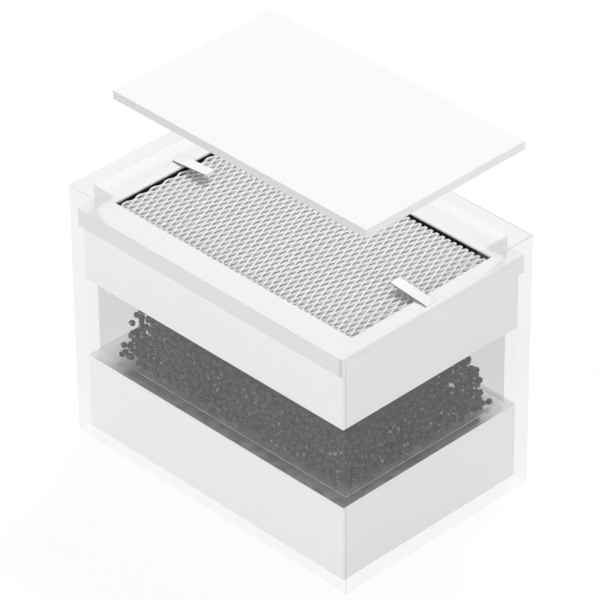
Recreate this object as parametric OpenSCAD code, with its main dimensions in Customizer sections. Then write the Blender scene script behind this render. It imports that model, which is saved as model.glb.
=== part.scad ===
// Box-shaped canister filter with lift-out trays.
// A clear case holds three stacked trays: a sponge tray, a clear tray of
// carbon pellets and a filter pad tray whose flange seats in the case. A clear
// rim closes the case around a recess for the lid.
// Origin: centre of the underside. +X runs along the length, +Z is up.

/* [Case] */
// Length of the case outside
case_l = 225; // [190:1:320]
// Width of the case outside
case_w = 150; // [130:1:220]
// Height of the case panels, up to the top rim
case_h = 160; // [150:1:240]
// Thickness of the two end panels
wall_end = 6; // [5.5:0.1:8]
// Thickness of the front and back panels
wall_side = 4; // [3.5:0.1:6]
// Thickness of the base panel
base_t = 4; // [3:0.5:8]
// Wall left outside the flange at the ends
lip_end = 4.5; // [3:0.1:5]
// Wall left outside the flange at the front and back
lip_side = 1.5; // [1:0.1:3]

/* [Top rim] */
// Height of the rim above the case panels
rim_h = 14.5; // [10:0.5:30]
// Width of the rim, from the outer face to the lid recess
rim_w = 10.1; // [9.5:0.1:14]

/* [Lid] */
// Thickness of the lid plate
lid_t = 5.5; // [3:0.5:8]
// Gap from the lid's short edges to the rim
lid_gap_end = 1.2; // [1:0.1:3]
// Gap from the lid's long edges to the rim
lid_gap_side = 1.8; // [1:0.1:3]
// Distance that the lid is raised off its seat
lid_rise = 69.4; // [40:0.1:120]
// Sideways shift of the raised lid along X
lid_shift_x = 7.6; // [0:0.1:7.6]
// Sideways shift of the raised lid along Y
lid_shift_y = 7.7; // [0:0.1:7.7]

/* [Trays] */
// Height of the bottom sponge tray
lower_h = 51.5; // [48:0.5:90]
// Height of the middle carbon tray
media_h = 54.2; // [30:0.1:90]
// Height of the flange at the top of the pad tray
flange_h = 12.5; // [6:0.5:20]
// Wall of the two moulded trays
tray_wall = 2.4; // [2:0.1:3]
// Sliding gap between the trays and the case, on each side
tray_gap = 0.3; // [0.2:0.05:0.6]
// Floor thickness of the carbon tray
media_floor_t = 2.5; // [2:0.5:6]
// Depth of the free space above the carbon
headspace = 8; // [5:0.5:20]

/* [Pad tray] */
// Ledge from the lid recess to the opening, at the ends
ledge_end = 5.9; // [5.5:0.1:20]
// Ledge from the lid recess to the opening, at the front and back
ledge_side = 8.4; // [6:0.1:20]
// Shift of the opening towards the back
opening_shift = 2; // [0:0.5:3]
// Thickness of the top plate around the opening
top_plate_t = 2.5; // [2:0.1:4]
// Depth of the fine pad under the screen
fine_pad_t = 14; // [8:0.5:20]
// Gap from the pads to the pocket walls
pad_gap = 0.5; // [0.3:0.1:3]
// Drop from the top plate to the upper face of the screen
screen_drop = 1.8; // [0.5:0.1:4]

/* [Screen] */
// Short pitch of the diamonds, along X
mesh_short = 4.65; // [3.5:0.05:8]
// Long pitch of the diamonds, along Y
mesh_long = 11.1; // [8:0.1:16]
// Width of a strand
strand_w = 1.2; // [0.6:0.05:1.4]
// Thickness of the screen
screen_t = 1.4; // [0.6:0.1:1.5]
// Smallest gap from the screen to the opening's edge
screen_gap = 0.5; // [0.3:0.1:2]

/* [Clips] */
// Length of each hold-down clip
clip_l = 28; // [18:0.5:35]
// Width of each clip
clip_w = 7.6; // [6:0.1:14]
// Thickness of each clip
clip_t = 0.8; // [0.8:0.1:2]
// Rise of each clip to its free end
clip_rise = 2.5; // [0.5:0.1:5]
// Distance of the left clip behind the right one
left_clip_y = 3; // [0:0.5:5]
// Length of the clip that is held under the rim
clip_grip = 2.6; // [1.5:0.1:4]
// Diameter of the locating peg under each clip
peg_d = 3; // [2:0.1:3.6]

/* [Sponge tray] */
// Height of the drain space under the sponge
drain_h = 28.5; // [27:0.5:40]
// Thickness of the drain grid
grid_t = 2.5; // [2:0.1:4]
// Width of the step that carries the grid
step_w = 3; // [2:0.1:6]

/* [Outlet] */
// Outside diameter of the hose spigot
spigot_d = 16; // [12:0.5:18]
// Bore through the outlet
outlet_bore = 12; // [8:0.5:13]
// Length of the spigot beyond its flange
spigot_l = 24; // [16:1:40]
// Diameter of the outer flange of the outlet
outlet_flange_d = 26; // [24:0.5:27]
// Height of the outlet's centre above the ground
outlet_z = 17; // [15:0.5:18]

/* [Hidden] */

$fn = 64;
eps = 0.01;
slip = 0.1;
// Film between bonded panels, and between faces that rest on each other
film = 0.1;

// Case cavity and the flange seat cut into its panels
cavity_l = case_l - 2 * wall_end;
cavity_w = case_w - 2 * wall_side;
seat_l = case_l - 2 * lip_end;
seat_w = case_w - 2 * lip_side;
seat_z = case_h - flange_h;

// Outer size of all three trays, and of the flange
tray_l = cavity_l - 2 * tray_gap;
tray_w = cavity_w - 2 * tray_gap;
flange_l = seat_l - 2 * tray_gap;
flange_w = seat_w - 2 * tray_gap;

// Lid recess inside the rim, which lines up with the carbon tray's inside
recess_l = case_l - 2 * rim_w;
recess_w = case_w - 2 * rim_w;

// Opening over the screen
opening_l = recess_l - 2 * ledge_end;
opening_w = recess_w - 2 * ledge_side;

// Heights of the stack
lower_top = base_t + lower_h;
media_top = lower_top + media_h;
upper_bottom = media_top + tray_gap;
screen_top = case_h - screen_drop;
screen_bottom = screen_top - screen_t;
pad_floor_top = upper_bottom + tray_wall;
pad_l = opening_l - 2 * pad_gap;
pad_w = opening_w - 2 * pad_gap;

// Skirt and pocket of the pad tray
pocket_l = opening_l + 2 * tray_wall;
pocket_w = opening_w + 2 * tray_wall;
skirt_l = tray_l - 2 * tray_wall;
skirt_w = tray_w - 2 * tray_wall;
rib_t = 2;
rib_count_x = 5;
rib_count_y = 3;
rib_pitch_x = skirt_l / rib_count_x;
rib_pitch_y = skirt_w / rib_count_y;
// The ribs along X sit off the centre line, clear of the clips' pegs
rib_shift_y = rib_pitch_y / 4;

// Slots that let the water through a moulded floor
slot_w = 3;
slot_pitch = 6.5;
slot_bar = 8;
slot_rows = 3;

// Holes in the floor of the carbon tray, smaller than a pellet
pellet_d = 4;
hole_d = 0.7 * pellet_d;
hole_pitch = 11;
hole_margin = 9;

// Carbon bed, heaped against the front and the right, with slopes at the left and the back
bed_bottom = lower_top + media_floor_t;
bed_top = media_top - headspace;
bed_gap = 0.4;
bed_left_gap = 11;
bed_left_slope = 15;
bed_back_gap = 4;
bed_back_slope = 9;

// Screen: whole diamonds only, with the strands' bonds along its long edges
mesh_nx = floor((opening_l - 2 * screen_gap - strand_w) / mesh_short);
mesh_ny = floor((opening_w - 2 * screen_gap) / mesh_long);
strand_half = strand_w / 2;
bond_half = strand_half * mesh_long / mesh_short;

// Lid
lid_l = recess_l - 2 * lid_gap_end;
lid_w = recess_w - 2 * lid_gap_side;
lid_seat_z = case_h + clip_t + clip_rise;

// Clips stand on the top plate on a wedge-shaped foot, and rise over the screen
clip_outer = recess_l / 2 + clip_grip;
clip_relief = 0.3;
clip_foot = 7;
foot_rise = clip_rise * clip_foot / clip_l;
peg_x = (opening_l / 2 + tray_wall + skirt_l / 2) / 2;
peg_l = top_plate_t;

// Drain space and grid
grid_z = base_t + drain_h;
grid_l = tray_l - 2 * tray_wall - 2 * tray_gap;
grid_w = tray_w - 2 * tray_wall - 2 * tray_gap;
step_t = 2.5;
sponge_top = lower_top - 1;

// Outlet fitting through the back panel
shank_d = outlet_bore + 5;
gasket_t = 1.5;
outlet_flange_t = 4;
nut_t = 6;
nut_d = 24;
shank_end = 3;
lead_in = 1.5;
notch_w = nut_d + 12;
notch_h = drain_h - 2;

module slab(l, w, z0, z1) {
    translate([-l / 2, -w / 2, z0]) cube([l, w, z1 - z0]);
}

module slot_rect(l, w) {
    translate([-(l - w) / 2, -w / 2]) square([l - w, w]);
    translate([-(l - w) / 2, 0]) circle(d = w);
    translate([(l - w) / 2, 0]) circle(d = w);
}

// Rows of slots across a floor of size l by w, slots running along Y
module slot_field(l, w) {
    count = floor((l - slot_bar) / slot_pitch);
    slot_l = (w - slot_bar * (slot_rows + 1)) / slot_rows;
    for (i = [0 : count - 1], j = [0 : slot_rows - 1])
        translate([(i - (count - 1) / 2) * slot_pitch, (j - (slot_rows - 1) / 2) * (slot_l + slot_bar)])
            rotate(90) slot_rect(slot_l, slot_w);
}

// ---- Case ----

module flange_seat() {
    slab(seat_l, seat_w, seat_z, case_h + 1);
}

module side_panel() {
    difference() {
        translate([-case_l / 2, -case_w / 2, 0]) cube([case_l, wall_side, case_h]);
        flange_seat();
    }
}

module end_panel() {
    difference() {
        translate([-case_l / 2, -cavity_w / 2 + film, 0]) cube([wall_end, cavity_w - 2 * film, case_h]);
        flange_seat();
    }
}

module case_front() {
    color([0.93, 0.94, 0.95, 0.25]) side_panel();
}

module case_back() {
    color([0.93, 0.94, 0.95, 0.25]) difference() {
        mirror([0, 1, 0]) side_panel();
        translate([0, case_w / 2 + 1, outlet_z]) rotate([90, 0, 0])
            cylinder(d = shank_d + 2 * slip, h = wall_side + 2);
    }
}

module case_left() {
    color([0.93, 0.94, 0.95, 0.25]) end_panel();
}

module case_right() {
    color([0.93, 0.94, 0.95, 0.25]) mirror([1, 0, 0]) end_panel();
}

module case_base() {
    color([0.93, 0.94, 0.95, 0.25]) slab(cavity_l - 2 * film, cavity_w - 2 * film, 0, base_t);
}

// Room for a clip's foot under the right-hand end of the rim
module clip_notch(y) {
    reach = clip_grip + clip_relief;
    translate([recess_l / 2, y, 0])
        slab(2 * reach, clip_w + 2 * clip_relief, case_h - 1, case_h + clip_t + foot_rise + clip_relief);
}

module top_rim() {
    color([0.93, 0.94, 0.95, 0.25]) difference() {
        slab(case_l, case_w, case_h + film, case_h + rim_h);
        slab(recess_l, recess_w, case_h - 1, case_h + rim_h + 1);
        clip_notch(0);
        mirror([1, 0, 0]) clip_notch(left_clip_y);
    }
}

module lid() {
    color([0.98, 0.98, 0.98]) translate([lid_shift_x, lid_shift_y, lid_seat_z + lid_rise])
        slab(lid_l, lid_w, 0, lid_t);
}

// ---- Pad tray and what it holds ----

// Ribs that tie the pocket to the skirt
module skirt_ribs() {
    rib_top = case_h - top_plate_t + eps;
    for (i = [0 : rib_count_x - 1])
        translate([(i - (rib_count_x - 1) / 2) * rib_pitch_x, 0, 0])
            slab(rib_t, skirt_w + 2 * eps, upper_bottom, rib_top);
    for (j = [0 : rib_count_y - 1])
        translate([0, (j - (rib_count_y - 1) / 2) * rib_pitch_y + rib_shift_y, 0])
            slab(skirt_l + 2 * eps, rib_t, upper_bottom, rib_top);
}

module peg_hole(x, y) {
    translate([x, y, case_h - top_plate_t - 1]) cylinder(d = peg_d + slip, h = top_plate_t + 2);
}

module pad_tray() {
    color([0.96, 0.96, 0.96]) difference() {
        union() {
            slab(tray_l, tray_w, upper_bottom, case_h);
            slab(flange_l, flange_w, seat_z + film, case_h);
        }
        translate([0, opening_shift, 0]) slab(opening_l, opening_w, pad_floor_top, case_h + 1);
        difference() {
            slab(skirt_l, skirt_w, upper_bottom - 1, case_h - top_plate_t);
            translate([0, opening_shift, 0]) slab(pocket_l, pocket_w, upper_bottom - 2, case_h);
            skirt_ribs();
        }
        translate([0, opening_shift, upper_bottom - 1]) linear_extrude(tray_wall + 2)
            slot_field(opening_l, opening_w);
        peg_hole(peg_x, 0);
        peg_hole(-peg_x, left_clip_y);
    }
}

// Rows of diamond holes, each row half a pitch on from the last
function row_count() = 2 * mesh_ny - 1;
function row_cells(j) = j % 2 == 0 ? mesh_nx : mesh_nx - 1;
function row_y(j) = (j - (row_count() - 1) / 2) * mesh_long / 2;
function cell_x(i, j) = (i - (row_cells(j) - 1) / 2) * mesh_short;
function diamond(cx, cy) = [
    [cx - mesh_short / 2 + strand_half, cy],
    [cx, cy - mesh_long / 2 + bond_half],
    [cx + mesh_short / 2 - strand_half, cy],
    [cx, cy + mesh_long / 2 - bond_half]
];

// Teeth of one long edge, left to right: a cut tip over each hole and a notch between
function teeth(edge_y, root_y) = [
    for (i = [0 : mesh_nx - 1], k = [-1 : 1])
        if (k < 1 || i < mesh_nx - 1)
            k < 1 ? [cell_x(i, 0) + (2 * k + 1) * strand_half, edge_y]
                  : [cell_x(i, 0) + mesh_short / 2, root_y]
];

// Zigzag strand of the right-hand end, bottom to top
function zigzag() = [
    for (j = [0 : row_count() - 1])
        [cell_x(row_cells(j) - 1, j) + mesh_short / 2 + strand_half, row_y(j)]
];

function turned(points) = [for (p = points) [-p[0], -p[1]]];

module screen_outline() {
    tip = mesh_ny * mesh_long / 2;
    half_edge = concat(teeth(-tip, mesh_long / 2 - bond_half - tip), zigzag());
    polygon(concat(half_edge, turned(half_edge)));
}

module screen() {
    color([0.85, 0.86, 0.87]) translate([0, opening_shift, screen_bottom]) linear_extrude(screen_t)
        difference() {
            screen_outline();
            for (j = [0 : row_count() - 1], i = [0 : row_cells(j) - 1])
                polygon(diamond(cell_x(i, j), row_y(j)));
        }
}

// Rising strip with a foot and a locating peg, at the right-hand end
module clip(y) {
    color([0.99, 0.99, 0.99]) translate([0, y, case_h]) {
        translate([0, clip_w / 2, 0]) rotate([90, 0, 0]) linear_extrude(clip_w) polygon([
            [clip_outer, 0],
            [clip_outer, clip_t],
            [clip_outer - clip_l, clip_t + clip_rise],
            [clip_outer - clip_l, clip_rise],
            [clip_outer - clip_foot, foot_rise],
            [clip_outer - clip_foot, 0]
        ]);
        translate([peg_x, 0, -peg_l]) cylinder(d = peg_d, h = peg_l + eps);
    }
}

module left_clip() {
    mirror([1, 0, 0]) clip(left_clip_y);
}

module right_clip() {
    clip(0);
}

module fine_pad() {
    color([0.9, 0.9, 0.89]) translate([0, opening_shift, 0])
        slab(pad_l, pad_w, screen_bottom - fine_pad_t, screen_bottom);
}

module coarse_foam() {
    color([0.35, 0.37, 0.4]) translate([0, opening_shift, 0])
        slab(pad_l, pad_w, pad_floor_top, screen_bottom - fine_pad_t);
}

// ---- Carbon tray ----

module hole_field(l, w) {
    nx = floor((l - 2 * hole_margin) / hole_pitch);
    ny = floor((w - 2 * hole_margin) / hole_pitch);
    for (i = [0 : nx], j = [0 : ny])
        translate([(i - nx / 2) * hole_pitch, (j - ny / 2) * hole_pitch]) circle(d = hole_d, $fn = 32);
}

module carbon_tray() {
    color([0.93, 0.94, 0.95, 0.25]) difference() {
        slab(tray_l, tray_w, lower_top + film, media_top);
        slab(recess_l, recess_w, bed_bottom, media_top + 1);
        translate([0, 0, lower_top - 1]) linear_extrude(media_floor_t + 2) hole_field(recess_l, recess_w);
    }
}

// Upright prism of length l, whose profile leans in from start by slope
module heap_profile(start, slope, end, l) {
    translate([0, l / 2, 0]) rotate([90, 0, 0]) linear_extrude(l)
        polygon([[start, bed_bottom], [end, bed_bottom], [end, bed_top], [start + slope, bed_top]]);
}

module carbon_bed() {
    color([0.2, 0.2, 0.21]) intersection() {
        heap_profile(bed_left_gap - recess_l / 2, bed_left_slope, recess_l / 2 - bed_gap, recess_w);
        rotate(-90) heap_profile(bed_back_gap - recess_w / 2, bed_back_slope, recess_w / 2 - bed_gap, recess_l);
    }
}

// ---- Sponge tray ----

module sponge_tray() {
    inner_l = tray_l - 2 * tray_wall;
    inner_w = tray_w - 2 * tray_wall;
    color([0.95, 0.95, 0.95]) difference() {
        slab(tray_l, tray_w, base_t + film, lower_top);
        slab(inner_l, inner_w, grid_z, lower_top + 1);
        slab(inner_l - 2 * step_w, inner_w - 2 * step_w, base_t - 1, grid_z + 1);
        slab(inner_l, inner_w, base_t - 1, grid_z - step_t);
        translate([-notch_w / 2, 0, base_t - 1]) cube([notch_w, tray_w, notch_h + 1]);
    }
}

module drain_grid() {
    color([0.9, 0.9, 0.9]) difference() {
        slab(grid_l, grid_w, grid_z, grid_z + grid_t);
        translate([0, 0, grid_z - 1]) linear_extrude(grid_t + 2)
            slot_field(grid_l - 2 * step_w, grid_w - 2 * step_w);
    }
}

module sponge() {
    color([0.3, 0.33, 0.36]) slab(grid_l, grid_w, grid_z + grid_t, sponge_top);
}

// ---- Outlet ----

// Profile turned about the outlet's axis, which runs along +Y
module outlet_turn() {
    translate([0, 0, outlet_z]) rotate([-90, 0, 0]) rotate_extrude() children();
}

module outlet_spigot() {
    face = case_w / 2 + gasket_t;
    tip = face + outlet_flange_t + spigot_l;
    bore_r = outlet_bore / 2;
    color([0.92, 0.92, 0.92]) outlet_turn() polygon([
        [bore_r, cavity_w / 2 - nut_t - shank_end],
        [shank_d / 2, cavity_w / 2 - nut_t - shank_end],
        [shank_d / 2, face],
        [outlet_flange_d / 2, face],
        [outlet_flange_d / 2, face + outlet_flange_t],
        [spigot_d / 2, face + outlet_flange_t],
        [spigot_d / 2, tip - lead_in],
        [spigot_d / 2 - lead_in / 2, tip],
        [bore_r, tip]
    ]);
}

module outlet_gasket() {
    color([0.15, 0.15, 0.15]) outlet_turn()
        translate([shank_d / 2 + slip, case_w / 2 + film])
            square([(outlet_flange_d - shank_d) / 2 - slip, gasket_t - film]);
}

module outlet_nut() {
    color([0.9, 0.9, 0.9]) translate([0, cavity_w / 2 - film, outlet_z]) rotate([90, 0, 0]) difference() {
        cylinder(d = nut_d, h = nut_t, $fn = 6);
        translate([0, 0, -1]) cylinder(d = shank_d + slip, h = nut_t + 2);
    }
}

case_front();
case_back();
case_left();
case_right();
case_base();
top_rim();
lid();
pad_tray();
screen();
left_clip();
right_clip();
fine_pad();
coarse_foam();
carbon_tray();
carbon_bed();
sponge_tray();
drain_grid();
sponge();
outlet_spigot();
outlet_gasket();
outlet_nut();
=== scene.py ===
"""Looks of the box-shaped canister filter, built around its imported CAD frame.

The clear case, the trays, the clips, the lid and the fittings are CAD nodes with detailed materials. The formed
screen, the carbon pellets and the three pads are pieces made here, which stand for plain CAD solids. All sizes are in
metres.
"""

import math
import random

import bpy
import numpy as np
from mathutils import Euler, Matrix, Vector, kdtree


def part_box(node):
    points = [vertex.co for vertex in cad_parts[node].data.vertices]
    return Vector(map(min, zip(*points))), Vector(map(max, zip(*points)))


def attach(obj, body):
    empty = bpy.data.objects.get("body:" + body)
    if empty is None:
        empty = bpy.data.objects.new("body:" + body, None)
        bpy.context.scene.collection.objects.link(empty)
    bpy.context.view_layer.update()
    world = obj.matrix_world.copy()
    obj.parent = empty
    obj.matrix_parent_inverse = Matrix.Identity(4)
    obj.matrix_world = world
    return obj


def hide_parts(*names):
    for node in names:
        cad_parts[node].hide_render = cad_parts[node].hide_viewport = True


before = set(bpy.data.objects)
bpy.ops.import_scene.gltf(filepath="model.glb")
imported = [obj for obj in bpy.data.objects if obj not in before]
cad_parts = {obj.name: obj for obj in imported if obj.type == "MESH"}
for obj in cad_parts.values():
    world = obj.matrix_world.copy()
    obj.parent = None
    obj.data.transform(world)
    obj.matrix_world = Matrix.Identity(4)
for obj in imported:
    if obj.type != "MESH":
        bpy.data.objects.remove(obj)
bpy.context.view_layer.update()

MM = 0.001
WHITE = (1.0, 1.0, 1.0, 1.0)

# ---- Node helpers ----

# Nearly all values of a noise texture lie between these
NOISE_LOW, NOISE_HIGH = 0.3, 0.7


class Graph:
    """A material's node tree with a Principled shader, and short calls for the usual nodes."""

    def __init__(self, name):
        self.material = bpy.data.materials.new(name)
        self.material.use_nodes = True
        self.tree = self.material.node_tree
        self.tree.nodes.clear()
        self.output = self.add("ShaderNodeOutputMaterial")
        self.shader = self.add("ShaderNodeBsdfPrincipled")
        self.link(self.shader.outputs["BSDF"], self.output.inputs["Surface"])
        self.place = self.add("ShaderNodeTexCoord").outputs["Object"]

    def add(self, kind, **settings):
        node = self.tree.nodes.new(kind)
        for name, value in settings.items():
            setattr(node, name, value)
        return node

    def link(self, source, target):
        self.tree.links.new(source, target)

    def feed(self, socket, value):
        """Links a socket, or sets a plain number or colour on it."""
        if isinstance(value, bpy.types.NodeSocket):
            self.link(value, socket)
        else:
            socket.default_value = value

    def set(self, **values):
        """Sets the Principled shader's inputs, with _ for the spaces in their names."""
        for name, value in values.items():
            self.feed(self.shader.inputs[name.replace("_", " ")], value)

    def source(self, name):
        """What is linked to one of the Principled shader's inputs."""
        return self.shader.inputs[name].links[0].from_socket

    def math(self, operation, first, second=0.0, clamp=False):
        node = self.add("ShaderNodeMath", operation=operation, use_clamp=clamp)
        self.feed(node.inputs[0], first)
        self.feed(node.inputs[1], second)
        return node.outputs[0]

    def fold(self, operation, values):
        result = values[0]
        for value in values[1:]:
            result = self.math(operation, result, value)
        return result

    def times(self, *values):
        return self.fold("MULTIPLY", values)

    def least(self, *values):
        return self.fold("MINIMUM", values)

    def most(self, *values):
        return self.fold("MAXIMUM", values)

    def minus(self, first, second):
        return self.math("SUBTRACT", first, second)

    def away(self, value, middle=0.0):
        """How far value is from middle, to either side."""
        return self.math("ABSOLUTE", self.minus(value, middle))

    def ramp(self, value, low, high, to_low=0.0, to_high=1.0):
        """Maps value from low..high to to_low..to_high, and holds it there."""
        node = self.add("ShaderNodeMapRange", interpolation_type="SMOOTHSTEP")
        for socket, number in zip(node.inputs, (value, low, high, to_low, to_high)):
            self.feed(socket, number)
        return node.outputs[0]

    def stretched(self, stretch):
        """The place on the object, scaled along each axis."""
        mapping = self.add("ShaderNodeMapping")
        self.link(self.place, mapping.inputs["Vector"])
        mapping.inputs["Scale"].default_value = stretch
        return mapping.outputs[0]

    def noise(self, scale, detail=3.0, stretch=(1, 1, 1), roughness=0.5):
        """Noise with scale features to a metre."""
        node = self.add("ShaderNodeTexNoise")
        self.link(self.stretched(stretch), node.inputs["Vector"])
        for name, value in (("Scale", scale), ("Detail", detail), ("Roughness", roughness)):
            node.inputs[name].default_value = value
        return node.outputs["Fac"]

    def clouds(self, noise, low, high):
        """The noise, spread over low..high."""
        return self.ramp(noise, NOISE_LOW, NOISE_HIGH, low, high)

    def cells(self, scale, stretch=(1, 1, 1)):
        """Distance from the nearest point of a Voronoi pattern, with scale cells to a metre."""
        node = self.add("ShaderNodeTexVoronoi")
        self.link(self.stretched(stretch), node.inputs["Vector"])
        node.inputs["Scale"].default_value = scale
        return node.outputs["Distance"]

    def mix(self, factor, first, second):
        node = self.add("ShaderNodeMix", data_type="RGBA")
        for socket, value in zip((node.inputs["Factor"], node.inputs[6], node.inputs[7]), (factor, first, second)):
            self.feed(socket, value)
        return node.outputs[2]

    def axes(self):
        node = self.add("ShaderNodeSeparateXYZ")
        self.link(self.place, node.inputs[0])
        return node.outputs

    def bump(self, height, strength, distance):
        node = self.add("ShaderNodeBump")
        self.feed(node.inputs["Height"], height)
        node.inputs["Strength"].default_value = strength
        node.inputs["Distance"].default_value = distance
        self.link(node.outputs[0], self.shader.inputs["Normal"])

    def emission(self, colour):
        node = self.add("ShaderNodeEmission")
        node.inputs["Color"].default_value = colour
        return node.outputs[0]

    def blend(self, factor, first, second):
        """Mixes two shaders."""
        node = self.add("ShaderNodeMixShader")
        for socket, value in zip(node.inputs, (factor, first, second)):
            self.feed(socket, value)
        return node.outputs[0]


def grey(value):
    return (value, value, value, 1.0)


# ---- White plastics ----

# Specular levels of the white plastics and the lid, low enough that their pale faces don't clip under the lamps
PLASTIC_SHEEN, LID_SHEEN = 0.15, 0.1
# Most that a white plastic reflects
LIGHTEST = 0.98
# Grey of the pad tray
TRAY_SHADE = 0.95
# Greys of the painted shade on the pad tray's flange, on its long faces and darker at their right-hand ends, as shares
# of the tray's
FLANGE_SHADE_SHARE, FLANGE_END_SHADE_SHARE = 0.88, 0.72
# Length of the darker painted shade at the flange's right-hand end
FLANGE_SHADE_END = 2.4 * MM
# How far the moulded line on the flange runs in front of the opening, its half width and its grey
LIP, LIP_WIDTH, LIP_SHADE = 3 * MM, 0.35 * MM, 0.86
# Gap from the pads to the pocket walls
PAD_GAP = 0.5 * MM
# Depths below the flange's top between which the pocket's walls turn to a dark painted shade, and their greys
WALL_LIGHT, WALL_DARK = 0.9 * MM, 1.6 * MM
WALL_SHADES = 0.75, 0.02
# Distance over which a mark on a face ends
FAINT = 0.05 * MM


def moulded(name, shade, roughness=0.65, grain=0.15):
    """White moulded plastic: faint flow marks, a fine matt grain and light scuffs."""
    g = Graph(name)
    flow = g.noise(18, detail=2, stretch=(1, 1, 3))
    scuffs = g.ramp(g.noise(900, detail=6, stretch=(1, 0.15, 1)), 0.62, 0.8)
    colour = g.mix(flow, grey(shade * 0.985), grey(min(shade * 1.01, LIGHTEST)))
    g.set(Base_Color=g.mix(g.times(scuffs, 0.25), colour, grey(shade * 0.93)))
    g.set(Roughness=g.clouds(g.noise(60), roughness - 0.06, roughness + 0.08), Specular_IOR_Level=PLASTIC_SHEEN)
    g.bump(g.noise(2600, detail=4), grain, 0.05 * MM)
    return g


def near(g, distance, width=FAINT):
    """1 at no distance, 0 from width on."""
    return g.ramp(distance, width, width * 0.4)


def inside(g, value, box, axis):
    """1 where value is inside the box along axis, with PAD_GAP to spare."""
    low, high = box[0][axis], box[1][axis]
    half = (high - low) / 2 + PAD_GAP
    return g.ramp(g.away(value, (low + high) / 2), half + 2 * FAINT, half + FAINT)


def strip(name):
    """A clip's smooth white strip, with painted shade on its long sides and underside."""
    g = moulded(name, 0.955, roughness=0.62, grain=0.05)
    normal = g.add("ShaderNodeSeparateXYZ")
    g.link(g.add("ShaderNodeTexCoord").outputs["Normal"], normal.inputs[0])
    ends = g.ramp(g.away(normal.outputs[0]), 0.5, 0.7)
    # Painted shade: every face but the top and the two ends is dark grey
    side_shade = g.math("SUBTRACT", g.ramp(normal.outputs[2], 0.7, 0.5), ends, clamp=True)
    g.set(Base_Color=g.mix(side_shade, g.source("Base Color"), grey(0.22)))
    return g


def pad_tray_plastic(name):
    """The tray's white, with painted shade on the flange's long faces and dark painted shade on the pocket's walls."""
    g = moulded(name, TRAY_SHADE)
    x, y, z = g.axes()
    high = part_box("pad_tray")[1]
    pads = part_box("fine_pad")
    top = high[2]
    # Painted shade on the flange's long faces, darker at their right-hand ends
    flange = g.ramp(g.minus(high[1], g.away(y)), 2 * FAINT, FAINT)
    flange = g.times(flange, g.ramp(z, top, top - FAINT))
    end = g.ramp(x, high[0] - FLANGE_SHADE_END - 0.2 * MM, high[0] - FLANGE_SHADE_END + 0.2 * MM)
    shaded = g.mix(end, grey(TRAY_SHADE * FLANGE_SHADE_SHARE), grey(TRAY_SHADE * FLANGE_END_SHADE_SHARE))
    colour = g.mix(flange, g.source("Base Color"), shaded)
    lip = g.times(near(g, g.away(y, pads[0][1] - LIP), LIP_WIDTH), near(g, g.minus(top, z)))
    colour = g.mix(g.times(lip, 0.6), colour, grey(LIP_SHADE))
    # Painted shade in the pocket: its walls fade from light grey to nearly black below the flange's top
    pocket = g.times(inside(g, x, pads, 0), inside(g, y, pads, 1), g.ramp(z, top - FAINT, top - 5 * FAINT))
    wall = g.mix(g.ramp(z, top - WALL_LIGHT, top - WALL_DARK), *map(grey, WALL_SHADES))
    g.set(Base_Color=g.mix(pocket, colour, wall))
    return g


def lid_sheet(name):
    """Matt white sheet with duller sawn edges, and painted shade that makes the front edge darker still."""
    g = Graph(name)
    low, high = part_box("lid")
    x, y, _ = g.axes()
    from_x, from_y = (
        g.minus((high[i] - low[i]) / 2, g.away(value, (high[i] + low[i]) / 2)) for i, value in ((0, x), (1, y))
    )
    sawn = g.ramp(g.least(from_x, from_y), 0.02 * MM, 0.01 * MM)
    # Painted shade: the front edge is darker than the other sawn edges
    front = g.ramp(y, low[1] + 0.02 * MM, low[1] + 0.01 * MM)
    face = g.mix(g.noise(12, detail=2), grey(0.94), grey(0.955))
    marks = g.noise(1200, detail=5, stretch=(1, 1, 0.08))
    edge = g.mix(front, g.mix(marks, grey(0.88), grey(0.92)), g.mix(marks, grey(0.68), grey(0.72)))
    g.set(Base_Color=g.mix(sawn, face, edge))
    g.set(Roughness=g.clouds(g.noise(70), 0.64, 0.76), Specular_IOR_Level=LID_SHEEN)
    g.bump(g.noise(2200, detail=3), 0.06, 0.03 * MM)
    return g


# ---- Clear plastics ----

# Share of light that an outer face of the case stops, and its grey
VEIL, VEIL_SHADE = 0.085, 0.42
# The same for the carbon tray's walls
TRAY_VEIL, TRAY_VEIL_SHADE = 0.21, 0.45
# Share of the veil on the rim's inner faces
INNER_SHARE = 0.12
# Width of the dark lines painted as shade on the polished edges, and their grey
LINE, LINE_SHADE = 0.6 * MM, 0.1
# How strong the lines are: on the case's front corner, on the rim's, on the rim's top edges and at their far ends
CORNER_LINE, RIM_CORNER_LINE, EDGE_LINE, END_LINE = 0.22, 0.1, 0.12, 0.33
# Width of the rim, from its outer face to the recess
RIM_W = 10.1 * MM
# The far ends of the rim's edges start from these distances, counted in the rim's width
END_FROM, END_TO = 2.2, 2
# Width of the patches of painted shade in the recess's corners at their foot and top, the width of their soft side,
# and how strong
PATCH_FOOT, PATCH_TOP, PATCH_SOFT = 5 * MM, 18 * MM, 3 * MM
PATCH_SHADE = 0.3
# Height of the painted highlight line above the carbon tray's floor, and how far it fades out upwards and sideways
HIGHLIGHT_RISE, HIGHLIGHT_UP, HIGHLIGHT_ACROSS = 0.3 * MM, 0.45 * MM, 0.5 * MM
# Where the heap's painted shadow under the carbon tray's floor starts and is full, from the heap's left and back ends
SHADOW_LEFT, SHADOW_BACK = (13 * MM, 20 * MM), (2 * MM, 18 * MM)
# How ragged the painted shadow's outline is
SHADOW_RAG = 8 * MM


def clear_sheet(name):
    """Clear plastic that starts without any veil, with a polish that varies a little."""
    g = Graph(name)
    g.set(IOR=1.49, Roughness=g.clouds(g.noise(90), 0.05, 0.12))
    return g


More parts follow.
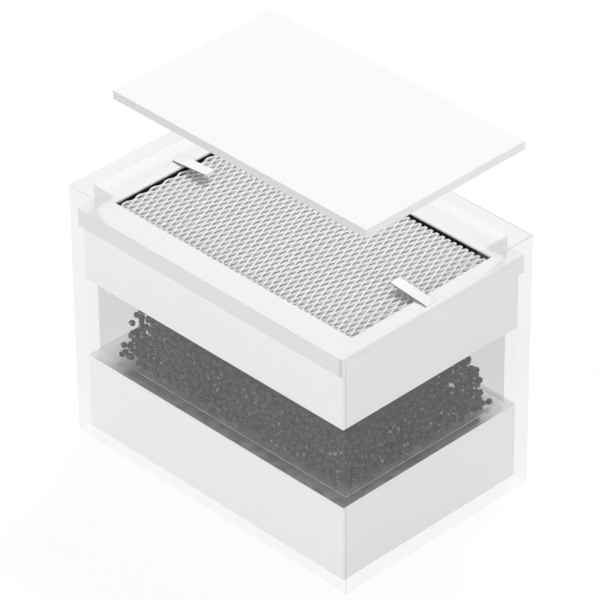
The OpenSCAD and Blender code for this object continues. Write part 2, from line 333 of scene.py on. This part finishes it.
def haze(g, share):
    """The share, with faint clouds and scratches in it."""
    scratches = g.ramp(g.noise(1500, detail=8, stretch=(0.06, 1, 1)), 0.7, 0.8, 1.0, 1.2)
    return g.times(g.clouds(g.noise(30), 0.94, 1.06), scratches, share)


def case_sides(g):
    """Distances in from the case's outer faces along X and Y."""
    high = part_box("top_rim")[1]
    x, y, _ = g.axes()
    return g.minus(high[0], g.away(x)), g.minus(high[1], g.away(y))


def corner_line(g):
    """1 on the case's upright corner between the front and the right-hand side."""
    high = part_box("top_rim")[1]
    x, y, _ = g.axes()
    corner = near(g, g.most(*case_sides(g)), LINE)
    return g.times(corner, g.ramp(g.minus(x, y), high[0], high[0] + high[1] / 2))


def case_acrylic(name):
    """Case panels: a thin grey veil on the outer faces, none on the bonded joints, and painted shade as a dark line on
    the front corner.
    """
    g = clear_sheet(name)
    outside = near(g, g.least(*case_sides(g)))
    # Painted shade: a dark line down the upright corner between the front and the right-hand side
    corner = corner_line(g)
    g.set(Alpha=g.most(g.times(haze(g, VEIL), outside), g.times(corner, CORNER_LINE)))
    g.set(Base_Color=g.mix(corner, grey(VEIL_SHADE), grey(LINE_SHADE)))
    return g


def rim_acrylic(name):
    """Rim: the case's veil, painted shade as fine dark lines on its top edges, and painted shade patches in two inner
    corners.
    """
    g = clear_sheet(name)
    x, y, z = g.axes()
    low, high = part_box("top_rim")
    from_x, from_y = case_sides(g)
    outer = g.least(from_x, from_y)
    from_top = g.minus(high[2], z)
    outside = near(g, g.least(outer, from_top))
    share = g.times(haze(g, VEIL), g.ramp(outside, 0, 1, INNER_SHARE, 1))
    on_top = near(g, from_top, LINE)
    across = g.minus(x, y)
    # Painted shade lines on the front and right-hand top edges, darker at their far ends
    front_end = g.ramp(x, low[0] + RIM_W * END_FROM, low[0] + RIM_W * END_TO)
    back_end = g.ramp(y, high[1] - RIM_W * END_FROM, high[1] - RIM_W * END_TO)
    ends = g.ramp(g.most(front_end, back_end), 0, 1, EDGE_LINE, END_LINE)
    edge = g.times(near(g, outer, LINE), on_top, g.ramp(across, -high[1], 0.0), ends)
    # Painted shade lines on the recess's left and back top edges
    recess = near(g, g.least(g.away(from_x, RIM_W), g.away(from_y, RIM_W)), LINE)
    recess = g.times(recess, on_top, g.ramp(across, 0.0, -high[1]), EDGE_LINE)
    dark = g.most(edge, recess, g.times(corner_line(g), RIM_CORNER_LINE))
    # Painted shade patches on the recess's front wall at its left end, and on the right-hand wall at its back end
    recess_x, recess_y = high[0] - RIM_W, high[1] - RIM_W
    wide = g.ramp(z, low[2], high[2], PATCH_FOOT, PATCH_TOP)
    left = g.ramp(g.minus(g.minus(x, -recess_x), wide), 0, -PATCH_SOFT)
    back = g.ramp(g.minus(g.minus(recess_y, y), wide), 0, -PATCH_SOFT)
    left = g.times(near(g, g.away(y, -recess_y)), left)
    back = g.times(near(g, g.away(x, recess_x)), back)
    g.set(Alpha=g.most(share, g.times(g.most(left, back), PATCH_SHADE), dark))
    g.set(Base_Color=g.mix(g.ramp(dark, 0.02, 0.06), grey(VEIL_SHADE), grey(LINE_SHADE)))
    return g


def smoky_clear(name):
    """The carbon tray's clear plastic: smoky walls inside, painted shadow under its floor and a painted highlight."""
    g = clear_sheet(name)
    x, y, z = g.axes()
    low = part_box("carbon_tray")[0]
    heap_low, heap_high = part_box("carbon_bed")
    floor_top = heap_low[2]
    from_wall = g.away(g.least(*case_sides(g)), RIM_W)
    walls = g.times(near(g, from_wall), g.ramp(z, floor_top + 0.02 * MM, floor_top + 0.1 * MM))
    under = g.ramp(z, low[2] + 2 * FAINT, low[2] + FAINT)
    # The painted highlight along the floor at the front and right-hand walls
    highlight = g.times(near(g, from_wall, HIGHLIGHT_ACROSS), near(g, g.away(z, floor_top + HIGHLIGHT_RISE), HIGHLIGHT_UP))
    highlight = g.times(highlight, g.ramp(g.minus(x, y), -20 * MM, 0.0))
    # The heap's painted shadow under the floor, light where no pellets lie above and ragged towards its left and back
    # ends
    ragged = g.times(g.noise(260, detail=4), SHADOW_RAG)
    left = g.ramp(g.math("ADD", x, ragged), *(heap_low[0] + inset for inset in SHADOW_LEFT))
    back = g.ramp(g.math("ADD", y, ragged), *(heap_high[1] - inset for inset in SHADOW_BACK))
    blotches = g.mix(g.clouds(g.noise(150, detail=4), 0.0, 1.0), grey(0.42), grey(0.64))
    shadow_film = g.mix(g.times(left, back), grey(0.97), blotches)
    g.set(Base_Color=g.mix(highlight, g.mix(under, grey(TRAY_VEIL_SHADE), shadow_film), grey(0.8)))
    share = g.most(g.times(haze(g, TRAY_VEIL), walls), g.times(under, 0.9), g.times(highlight, 0.5))
    g.set(Alpha=g.most(share, 0.01))
    return g


# ---- Pads, carbon, mesh and rubber ----


def foam(name, dark, light, cell):
    """Open-cell foam: dark pores between lighter struts."""
    g = Graph(name)
    pores = g.ramp(g.cells(1 / cell), 0.15, 0.55)
    fine = g.noise(3000, detail=4)
    g.set(Base_Color=g.mix(pores, grey(dark), g.mix(fine, grey(light * 0.85), grey(light))))
    g.set(Roughness=g.clouds(fine, 0.85, 0.98))
    g.bump(pores, 0.8, 0.4 * cell)
    return g


def floss(name):
    """White filter floss: crossing fibres over a soft, cloudy base."""
    g = Graph(name)
    along, across = (
        g.ramp(g.noise(700, detail=6, stretch=stretch, roughness=0.7), 0.45, 0.7)
        for stretch in ((0.12, 1, 1), (1, 0.12, 1))
    )
    fibres = g.most(along, across)
    base = g.mix(g.noise(60), grey(0.91), grey(0.95))
    g.set(Base_Color=g.mix(g.times(fibres, 0.6), base, grey(0.97)))
    g.set(Roughness=g.ramp(fibres, 0, 1, 0.95, 0.8))
    g.bump(fibres, 0.5, 0.3 * MM)
    return g


# Depths below the heap's top between which the pellets' painted glints come in
GLINTS_FROM, GLINTS_TO = 6 * MM, 14 * MM


def charcoal(name):
    """Dry carbon pellets: dusty dark grey, with pale painted glints on those lower down."""
    g = Graph(name)
    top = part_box("carbon_bed")[1][2]
    z = g.axes()[2]
    blotches = g.ramp(g.noise(500, detail=6, roughness=0.65), 0.35, 0.7)
    tone = g.mix(g.noise(160, detail=2), grey(0.024), grey(0.038))
    tone = g.mix(g.times(blotches, 0.5), tone, grey(0.065))
    # Painted glints: pale spots, about one to a pellet, in patches lower down
    glints = g.ramp(g.cells(300, stretch=(1.2, 1.2, 0.6)), 0.3, 0.18)
    patches = g.ramp(g.noise(45, detail=2), 0.36, 0.44)
    glints = g.times(glints, patches, g.ramp(z, top - GLINTS_FROM, top - GLINTS_TO))
    g.set(Base_Color=g.mix(glints, tone, grey(0.4)))
    g.set(Roughness=g.ramp(blotches, 0, 1, 0.45, 0.75), Specular_IOR_Level=0.3)
    g.bump(g.noise(1800, detail=5), 0.5, 0.15 * MM)
    return g


def strand_plastic(name):
    """Mottled pale plastic of the formed screen, with a fine grain."""
    g = Graph(name)
    g.set(Base_Color=g.mix(g.noise(400, detail=4), grey(0.77), grey(0.82)))
    g.set(Roughness=g.clouds(g.noise(800), 0.4, 0.6))
    g.bump(g.noise(4000, detail=3), 0.15, 0.04 * MM)
    return g


def rubber(name):
    """Black rubber with a dull bloom."""
    g = Graph(name)
    bloom = g.noise(300, detail=5)
    g.set(Base_Color=g.mix(bloom, grey(0.03), grey(0.055)))
    g.set(Roughness=g.clouds(bloom, 0.6, 0.8))
    g.bump(g.noise(3000, detail=4), 0.3, 0.05 * MM)
    return g


# ---- Meshes ----


def new_piece(name, vertices, faces, material, smooth=True):
    mesh = bpy.data.meshes.new(name)
    mesh.from_pydata([tuple(v) for v in vertices], [], [tuple(f) for f in faces])
    mesh.materials.append(material)
    if smooth:
        mesh.polygons.foreach_set("use_smooth", [True] * len(mesh.polygons))
    mesh.update()
    piece = bpy.data.objects.new(name, mesh)
    bpy.context.scene.collection.objects.link(piece)
    return piece


def box_quads(counts):
    """The quads on a box of cells, each with the step in which its corners face outwards.

    A corner is given in cells from the box's lowest one.
    """
    for axis in range(3):
        a, b = (axis + 1) % 3, (axis + 2) % 3
        for side in (0, counts[axis]):
            for i in range(counts[a]):
                for j in range(counts[b]):
                    quad = []
                    for di, dj in ((0, 0), (1, 0), (1, 1), (0, 1)):
                        corner = [0, 0, 0]
                        corner[axis], corner[a], corner[b] = side, i + di, j + dj
                        quad.append(tuple(corner))
                    yield quad, 1 if side else -1


# Pitch of the mesh's diamonds along X and Y
MESH_SHORT, MESH_LONG = 4.65 * MM, 11.1 * MM
# Half the width and half the height of a strand
STRAND_ACROSS, STRAND_UP = 0.8 * MM, 0.5 * MM
# How far the middles of two bonded strands lie from the bond's, as a share of STRAND_ACROSS
BOND_SHARE = 0.45
# Power of the strands' wave. Below 1 it makes the bonds longer, and the strands between them steeper
WAVE_POWER = 0.75
# Steps of a strand to a diamond's length, and the sides of its outline
STEPS_PER_CELL, STRAND_SIDES = 14, 8


def tubes(paths):
    """One mesh of swept strands. Each path is an (n, 3) array that runs mostly along Y."""
    vertices, faces, start = [], [], 0
    turn = np.arange(STRAND_SIDES) * 2 * math.pi / STRAND_SIDES
    ring = np.stack([np.cos(turn) * STRAND_ACROSS, np.zeros(STRAND_SIDES), np.sin(turn) * STRAND_UP], axis=1)
    for path in paths:
        vertices.append((path[:, None, :] + ring[None]).reshape(-1, 3))
        last = start + (len(path) - 1) * STRAND_SIDES
        for first in range(start, last, STRAND_SIDES):
            for k in range(STRAND_SIDES):
                a, b = first + k, first + (k + 1) % STRAND_SIDES
                faces.append((a, b, b + STRAND_SIDES, a + STRAND_SIDES))
        faces.append([start + k for k in range(STRAND_SIDES)])
        faces.append([last + k for k in reversed(range(STRAND_SIDES))])
        start = last + STRAND_SIDES
    return np.concatenate(vertices), faces


def formed_screen(material):
    """The diamond screen: two families of wavy strands that touch in turn at the bonds."""
    low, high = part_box("screen")
    columns = int((high[0] - low[0]) / MESH_SHORT)
    rows = int(round((high[1] - low[1]) / MESH_LONG))
    middle_y, middle_z = (low[1] + high[1]) / 2, (low[2] + high[2]) / 2
    tip = rows * MESH_LONG / 2
    y = np.linspace(-tip + STRAND_ACROSS, tip - STRAND_ACROSS, rows * STEPS_PER_CELL + 1)
    wave = -np.cos((y + tip) * 2 * math.pi / MESH_LONG)
    swing = (MESH_SHORT / 4 - STRAND_ACROSS * BOND_SHARE) * np.sign(wave) * np.abs(wave) ** WAVE_POWER
    edge = (high[0] - low[0]) / 2 - STRAND_ACROSS
    paths = []
    for i in range(columns):
        left_node = (i - columns / 2) * MESH_SHORT
        for quarter, side in ((1, -1), (3, 1)):
            x = np.clip(left_node + MESH_SHORT * quarter / 4 + side * swing, -edge, edge)
            paths.append(np.stack([x, y + middle_y, np.full_like(y, middle_z)], axis=1))
    return new_piece("formed_screen", *tubes(paths), material)


# Radius of a pellet before it is stretched
PELLET_R = 2.05 * MM
# How many shapes of pellet there are, how much their corners vary, and how much each is stretched
PELLET_SHAPES, PELLET_LUMP, PELLET_STRETCH = 7, 0.07, (0.88, 1.06)
# Least distance between the centres of two pellets
PELLET_GAP = 3.55 * MM
# How far the heap's left and back slopes lean in from its foot to its top
LEFT_SLOPE, BACK_SLOPE = 16 * MM, 20 * MM
# Waves that make the slopes ragged: height, and radians to a metre along X, Y and Z
RAG_WAVES = (2.5 * MM, 260, 0, 340), (2.5 * MM, 0, 410, -290), (1.5 * MM, 900, -700, 1100)
# How far loose pellets lie outside the slopes
LOOSE = 4 * MM
# Share of the pellets that stay on the slopes' surface, and the depth from which all do
SLOPE_SHARE, SLOPE_DEPTH = 0.3, 8 * MM
# Most that the foot stands back from the front and right-hand walls, and the height up to which it does
FOOT_INSET, FOOT_RISE = 1.8 * MM, 4 * MM
# Depths below the heap's sides, its top and its foot within which pellets are strewn
PILE_SKIN, PILE_COVER, PILE_BASE = 8 * MM, 9 * MM, 2 * MM
# Depths below its sides, its top and its foot from which a pellet is left out again. That keeps the mesh under 200,000
# triangles, but the heap is hollow and can be seen through here and there between its outer pellets
HIDDEN_SIDE, HIDDEN_TOP, HIDDEN_FOOT = 7.5 * MM, 8.5 * MM, 1.5 * MM
# Distance from the floor and the near walls within which a pellet's centre is moved until it touches them
SETTLE = 1.7 * PELLET_R
# Distance of two centres up to which one pellet carries the other
REACH = 2.15 * PELLET_R
# Tries for each pellet that would fill the heap's box
PLACE_TRIES = 9
PILE_SEED = 11


def pebble(seed):
    """Unit pellet: a cube-sphere of 24 faces, slightly lumpy."""
    rng = random.Random(seed)
    steps = (0, 1, 2)
    corners = [(a, b, c) for a in steps for b in steps for c in steps if (a, b, c) != (1, 1, 1)]
    index = {corner: i for i, corner in enumerate(corners)}
    points = np.array([(Vector(corner) - Vector((1, 1, 1))).normalized() for corner in corners])
    points *= 1 + np.array([[rng.uniform(-PELLET_LUMP, PELLET_LUMP)] for _ in corners])
    return points, [[index[corner] for corner in quad][::step] for quad, step in box_quads((2, 2, 2))]


def heap_depth(points, low, high):
    """Each point's depth below the heap's slopes, its upright faces, its top and its foot."""
    x, y, z = points.T
    share = (z - low[2]) / (high[2] - low[2])
    rag = sum(height * np.sin(a * x + b * y + c * z) for height, a, b, c in RAG_WAVES)
    slopes = np.minimum(x - low[0] - LEFT_SLOPE * share, high[1] - BACK_SLOPE * share - y) + rag + LOOSE
    inset = np.clip(1 - (z - low[2] - PELLET_R) / FOOT_RISE, 0, 1) * FOOT_INSET
    # The foot's outline waves along both walls
    inset *= 0.55 + 0.45 * np.sin(330 * (x - y)) * np.sin(140 * (x - y) + 1)
    walls = np.minimum(high[0] - x, y - low[1]) - inset
    return np.array([slopes, walls, high[2] - z, z - low[2]]) - PELLET_R


def pellet_centres(rng, low, high):
    """Pellets strewn at random over the heap's outer layers, sparser on its ragged left and back slopes."""
    count = int(np.prod(high - low) / PELLET_GAP**3 * PLACE_TRIES)
    loose = np.array([LOOSE, 0, 0])
    points = rng.uniform(low + PELLET_R - loose, high - PELLET_R, (count, 3))
    slopes, walls, top, foot = heap_depth(points, low, high)
    side = np.minimum(slopes, walls)
    strewn = (side > 0) & ((side < PILE_SKIN) | (top < PILE_COVER) | (foot < PILE_BASE))
    taken, centres = {}, []
    for point in points[strewn]:
        i, j, k = (int(v / PELLET_GAP) for v in point - low)
        close = [
            other
            for a in (i - 1, i, i + 1)
            for b in (j - 1, j, j + 1)
            for c in (k - 1, k, k + 1)
            for other in taken.get((a, b, c), ())
        ]
        if all(sum((point - other) ** 2) > PELLET_GAP**2 for other in close):
            taken.setdefault((i, j, k), []).append(point)
            centres.append(point)
    centres = np.array(centres)
    slopes = heap_depth(centres, low, high)[0]
    stays = rng.random(len(centres)) < SLOPE_SHARE + (1 - SLOPE_SHARE) * slopes / SLOPE_DEPTH
    return centres[stays]


def settled(centres, low, high):
    """The centres, with the lowest pellets set down on the floor and the outer ones against the near walls."""
    x, y, z = centres.T
    floor = z - low[2] < SETTLE
    z[floor] = low[2] + PELLET_R
    x[(high[0] - x < SETTLE) & ~floor] = high[0] - PELLET_R
    y[(y - low[1] < SETTLE) & ~floor] = low[1] + PELLET_R
    return centres


def held(centres, low, high):
    """The centres that lie on the floor, or on others that are held. Those deep below the slopes all are."""
    deep = heap_depth(centres, low, high)[0] > SLOPE_DEPTH
    tree = kdtree.KDTree(len(centres))
    for i, centre in enumerate(centres):
        tree.insert(centre, i)
    tree.balance()
    rests = set()
    for i in sorted(range(len(centres)), key=lambda i: centres[i][2]):
        carried = any(j in rests for _, j, _ in tree.find_range(centres[i], REACH))
        if carried or deep[i] or centres[i][2] - low[2] < SETTLE:
            rests.add(i)
    return centres[sorted(rests)]


def pellet_pile(material):
    """The heap's outer pellets, one mesh. Its left and back slopes are ragged."""
    rng = np.random.default_rng(PILE_SEED)
    low, high = (np.array(v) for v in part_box("carbon_bed"))
    shapes = [pebble(seed) for seed in range(PELLET_SHAPES)]
    centres = held(settled(pellet_centres(rng, low, high), low, high), low, high)
    slopes, walls, top, foot = heap_depth(centres, low, high)
    hidden = (np.minimum(slopes, walls) > HIDDEN_SIDE) & (top > HIDDEN_TOP) & (foot > HIDDEN_FOOT)
    vertices, faces, start = [], [], 0
    for centre, skipped in zip(centres, hidden):
        points, quads = shapes[rng.integers(len(shapes))]
        turn = np.array(Euler(rng.uniform(0, 2 * math.pi, 3)).to_matrix())
        stretch = rng.uniform(*PELLET_STRETCH, 3)
        if skipped:
            continue
        vertices.append((points * PELLET_R * stretch) @ turn.T + centre)
        faces += [[start + v for v in quad] for quad in quads]
        start += len(points)
    return new_piece("carbon_pellets", np.concatenate(vertices), faces, material)


# Size of a pad's quads, radius of its rounded edges, and how far its faces sink in on average
PAD_CELL, PAD_ROUNDING, PAD_LUMPS = 4 * MM, 0.8 * MM, 0.25 * MM
# How many waves make a pad's faces uneven, their least and most radians to a metre, and the spread of their phases
PAD_WAVES, WAVE_LEAST, WAVE_MOST, WAVE_PHASES = 8, 60, 240, 6.28


def soft_block(name, node, material, crown, seed):
    """A rounded pad that stands for a soft node: crowned top and bottom, uneven sides."""
    low, high = (np.array(v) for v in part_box(node))
    half = (high - low) / 2
    counts = [max(2, int(round(size / PAD_CELL))) for size in high - low]
    index = {}
    faces = [
        [index.setdefault(corner, len(index)) for corner in quad][::step] for quad, step in box_quads(counts)
    ]
    unit = np.array(list(index)) / counts * 2 - 1
    points = unit * half
    inner = half - PAD_ROUNDING
    core = np.clip(points, -inner, inner)
    out = points - core
    length = np.linalg.norm(out, axis=1, keepdims=True)
    outward = out / length
    points = core + outward * np.minimum(length, PAD_ROUNDING)
    rng = np.random.default_rng(seed)
    waves = rng.uniform(WAVE_LEAST, WAVE_MOST, (PAD_WAVES, 3)) * rng.choice([-1, 1], (PAD_WAVES, 3))
    phase = rng.uniform(0, WAVE_PHASES, PAD_WAVES)
    swell = np.sin(points @ waves.T + phase).mean(axis=1)
    fade = (1 - unit[:, 0] ** 4) * (1 - unit[:, 1] ** 4)
    points[:, 2] -= unit[:, 2] * crown * (1 - fade)
    points -= outward * (PAD_LUMPS * (1 + swell))[:, None]
    return new_piece(name, points + (low + high) / 2, faces, material)


# ---- Frame materials ----


def dress(graph, *nodes):
    """Gives CAD nodes one material."""
    for node in nodes:
        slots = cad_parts[node].data.materials
        slots.clear()
        slots.append(graph.material)


dress(case_acrylic("clear_acrylic"), "case_front", "case_back", "case_left", "case_right", "case_base")
dress(rim_acrylic("clear_rim"), "top_rim")
dress(smoky_clear("clear_tray"), "carbon_tray")
dress(lid_sheet("lid_white"), "lid")
dress(pad_tray_plastic("pad_tray_white"), "pad_tray")
# The sponge tray's white is lighter than the pad tray's, as painted light against the shade near the floor
dress(moulded("tray_white", LIGHTEST), "sponge_tray")
dress(moulded("grid_white", 0.9, roughness=0.55), "drain_grid")
dress(strip("clip_white"), "left_clip", "right_clip")
dress(moulded("fitting_white", 0.88, roughness=0.35, grain=0.08), "outlet_spigot", "outlet_nut")
dress(rubber("gasket_rubber"), "outlet_gasket")

# The raised lid is lit but leaves the trays under it in even light
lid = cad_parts["lid"]
lid.visible_shadow = lid.visible_diffuse = False

# ---- Pieces ----

screen = formed_screen(strand_plastic("screen_mesh").material)
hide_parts("screen")
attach(screen, "pad_tray")

pellets = pellet_pile(charcoal("carbon").material)
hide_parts("carbon_bed")
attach(pellets, "carbon_tray")

PADS = (
    # piece, node, body, slot, graph, crown, seed
    ("floss_pad", "fine_pad", "pad_tray", "filter_floss", floss("filter_floss"), 0.3 * MM, 3),
    ("foam_block", "coarse_foam", "pad_tray", "coarse_foam", foam("coarse_foam", 0.03, 0.22, 2.2 * MM), 0.2 * MM, 4),
    ("sponge_block", "sponge", "sponge_tray", "sponge", foam("sponge", 0.25, 0.6, 1.6 * MM), 0.5 * MM, 5),
)
for name, node, body, slot, graph, crown, seed in PADS:
    pad = soft_block(name, node, graph.material, crown, seed)
    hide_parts(node)
    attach(pad, body)

# ---- Stage, light and camera ----

FLOOR_HALF, FLOOR_Z = 8.0, -0.3 * MM
# How much of the floor that the camera sees is plain white, and not lit
FLOOR_WHITE = 0.93
# How much of the floor's light on the object is even, and its grey
FLOOR_GLOW, FLOOR_GLOW_SHADE = 0.6, 0.8
# Strength of the even light from all sides
WORLD_LIGHT = 0.41
SUNS = (
    # name, direction from the object to the light, strength, softness in degrees
    ("key", (-0.4, 0.9, 1.25), 1.83, 12),
    ("front_fill", (-0.1, -1.0, 0.2), 1.22, 40),
    ("right_fill", (1.0, -0.1, 0.2), 0.87, 40),
)
CAMERA_AZIMUTH, CAMERA_ELEVATION, CAMERA_ROLL = 45.63, 34.73, -0.47
CAMERA_DISTANCE = 2.6417
CAMERA_TARGET = Vector((0.00018, 0.00011, 0.11184))
CAMERA_LENS, SENSOR = 273.8, 36.0
CAMERA_NEAR, CAMERA_FAR = 0.1, 50


def backdrop_material():
    """White floor for the camera that keeps a faint shadow, and a plain pale one for the object's light."""
    g = Graph("floor")
    g.set(Base_Color=grey(0.85), Roughness=0.9)
    lit_floor = g.add("ShaderNodeBsdfDiffuse")
    lit_floor.inputs["Color"].default_value = WHITE
    sight = g.blend(FLOOR_WHITE, lit_floor.outputs[0], g.emission(WHITE))
    light = g.blend(FLOOR_GLOW, g.shader.outputs[0], g.emission(grey(FLOOR_GLOW_SHADE)))
    rays = g.add("ShaderNodeLightPath").outputs
    seen = g.most(rays["Is Camera Ray"], rays["Is Glossy Ray"], rays["Is Transmission Ray"])
    g.link(g.blend(seen, light, sight), g.output.inputs["Surface"])
    return g.material


corners = [(x * FLOOR_HALF, y * FLOOR_HALF, FLOOR_Z) for x, y in ((-1, -1), (1, -1), (1, 1), (-1, 1))]
floor = new_piece("floor", corners, [(0, 1, 2, 3)], backdrop_material(), smooth=False)


def make_world():
    """Even studio light, and plain white for the camera."""
    world = bpy.data.worlds.new("studio")
    bpy.context.scene.world = world
    world.use_nodes = True
    nodes, links = world.node_tree.nodes, world.node_tree.links
    nodes.clear()
    light, sight = nodes.new("ShaderNodeBackground"), nodes.new("ShaderNodeBackground")
    light.inputs["Strength"].default_value = WORLD_LIGHT
    light.inputs["Color"].default_value = WHITE
    sight.inputs["Color"].default_value = WHITE
    rays = nodes.new("ShaderNodeLightPath")
    blend, out = nodes.new("ShaderNodeMixShader"), nodes.new("ShaderNodeOutputWorld")
    links.new(rays.outputs["Is Camera Ray"], blend.inputs[0])
    links.new(light.outputs[0], blend.inputs[1])
    links.new(sight.outputs[0], blend.inputs[2])
    links.new(blend.outputs[0], out.inputs["Surface"])


def make_sun(name, towards, strength, softness):
    data = bpy.data.lights.new(name, "SUN")
    data.energy = strength
    data.angle = math.radians(softness)
    lamp = bpy.data.objects.new(name, data)
    lamp.rotation_mode = "QUATERNION"
    lamp.rotation_quaternion = Vector(towards).to_track_quat("Z", "Y")
    bpy.context.scene.collection.objects.link(lamp)


def make_camera():
    data = bpy.data.cameras.new("camera")
    data.lens, data.sensor_width = CAMERA_LENS, SENSOR
    data.clip_start, data.clip_end = CAMERA_NEAR, CAMERA_FAR
    camera = bpy.data.objects.new("camera", data)
    bpy.context.scene.collection.objects.link(camera)
    azimuth, elevation = math.radians(CAMERA_AZIMUTH), math.radians(CAMERA_ELEVATION)
    level = math.cos(elevation)
    back = Vector((math.sin(azimuth) * level, -math.cos(azimuth) * level, math.sin(elevation)))
    camera.location = CAMERA_TARGET + back * CAMERA_DISTANCE
    roll = Euler((0, 0, math.radians(CAMERA_ROLL))).to_quaternion()
    camera.rotation_mode = "QUATERNION"
    camera.rotation_quaternion = back.to_track_quat("Z", "Y") @ roll
    bpy.context.scene.camera = camera


make_world()
for settings in SUNS:
    make_sun(*settings)
make_camera()
bpy.context.scene.view_settings.view_transform = "Standard"
# Enough steps through the clear walls for both sight and shadows
bpy.context.scene.cycles.transparent_max_bounces = 32
